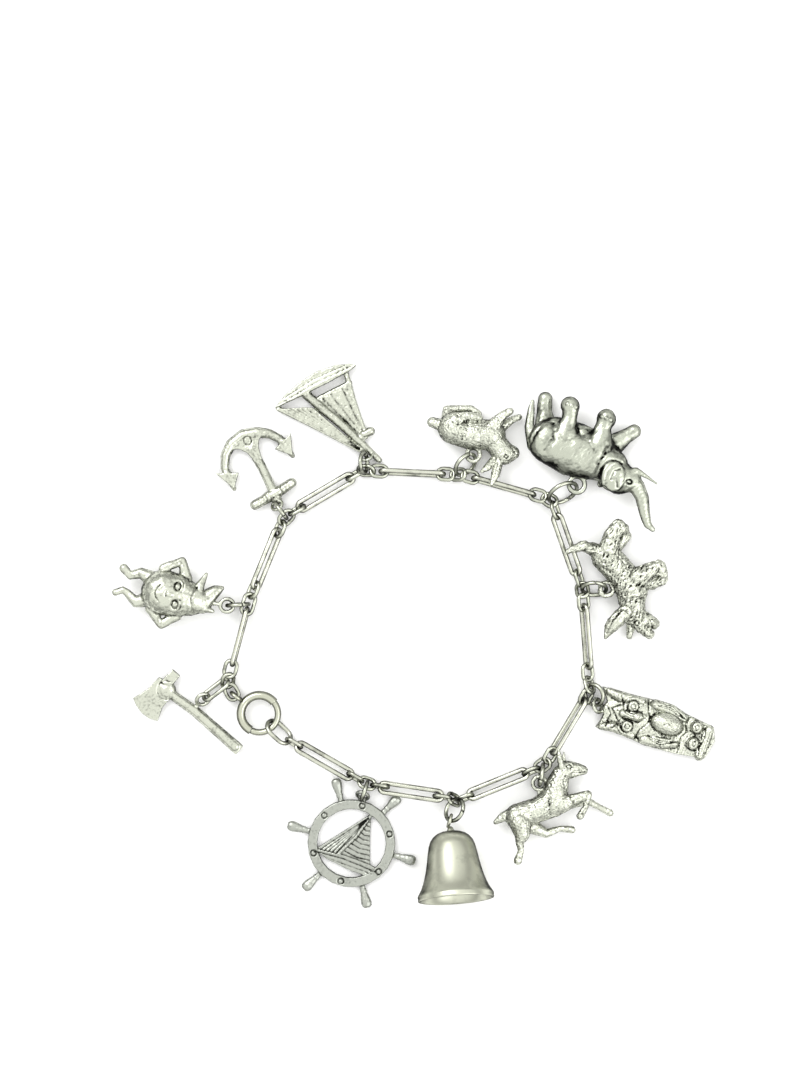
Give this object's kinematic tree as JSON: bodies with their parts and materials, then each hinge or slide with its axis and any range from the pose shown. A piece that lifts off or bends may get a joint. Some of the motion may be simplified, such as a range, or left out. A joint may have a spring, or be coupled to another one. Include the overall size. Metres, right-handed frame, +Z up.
{
  "type": "charm bracelet",
  "caption": "Silver paperclip-link charm bracelet lying in a loop, with cast animal and nautical charms on jump rings and a spring ring clasp.",
  "frame": {"origin": "centre of the bounding box's underside, on the surface the bracelet lies on", "axes": "+Z up from the surface; +Y away from the viewer, towards the yacht and rabbit charms; +X to the right, towards the terrier and totem pole"},
  "size_m": [0.096, 0.0868, 0.0118],
  "materials": {
    "sterling_wire": "drawn sterling silver wire, softly worn, a little tarnish where links touch",
    "cast_sterling": "cast sterling silver, bright on the high places and dark in the hollows",
    "polished_sterling": "polished sterling silver",
    "oxidised_sterling": "cast sterling silver, darkened and rubbed back"
  },
  "bodies": {
    "bracelet": {"long_link_01": "sterling_wire", "long_link_02": "sterling_wire", "long_link_03": "sterling_wire", "long_link_04": "sterling_wire", "long_link_05": "sterling_wire", "long_link_06": "sterling_wire", "long_link_07": "sterling_wire", "long_link_08": "sterling_wire", "long_link_09": "sterling_wire", "long_link_10": "sterling_wire", "long_link_11": "sterling_wire", "small_links_01": "sterling_wire", "small_links_02": "sterling_wire", "small_links_03": "sterling_wire", "small_links_04": "sterling_wire", "small_links_05": "sterling_wire", "small_links_06": "sterling_wire", "small_links_07": "sterling_wire", "small_links_08": "sterling_wire", "small_links_09": "sterling_wire", "small_links_10": "sterling_wire", "small_links_11": "sterling_wire", "small_links_clasp_end": "sterling_wire", "jump_ring_ships_wheel": "sterling_wire", "jump_ring_bell": "sterling_wire", "jump_ring_foal": "sterling_wire", "jump_ring_totem_pole": "sterling_wire", "jump_ring_terrier": "sterling_wire", "jump_ring_elephant": "sterling_wire", "jump_ring_rabbit": "sterling_wire", "jump_ring_yacht": "sterling_wire", "jump_ring_anchor": "sterling_wire", "jump_ring_egg_figure": "sterling_wire", "jump_ring_axe": "sterling_wire", "ships_wheel": "cast_sterling", "bell": "polished_sterling", "foal": "cast_sterling", "totem_pole": "cast_sterling", "terrier": "cast_sterling", "elephant": "oxidised_sterling", "rabbit": "cast_sterling", "yacht": "cast_sterling", "anchor": "cast_sterling", "egg_figure": "cast_sterling", "axe": "cast_sterling", "bell_clapper": "polished_sterling", "clasp_body": "polished_sterling"},
    "clasp_bolt": {"clasp_bolt": "polished_sterling"}
  },
  "joints": [
    {"name": "clasp_bolt_slide_round", "type": "hinge", "parent": "bracelet", "child": "clasp_bolt", "pos_m": [-0.02456, -0.01228, 0.0015], "axis": [0, 0, 1], "range_deg": [0, 55], "stiffness_Nm_per_rad": 0.0002, "springref_deg": -28.65}
  ]
}
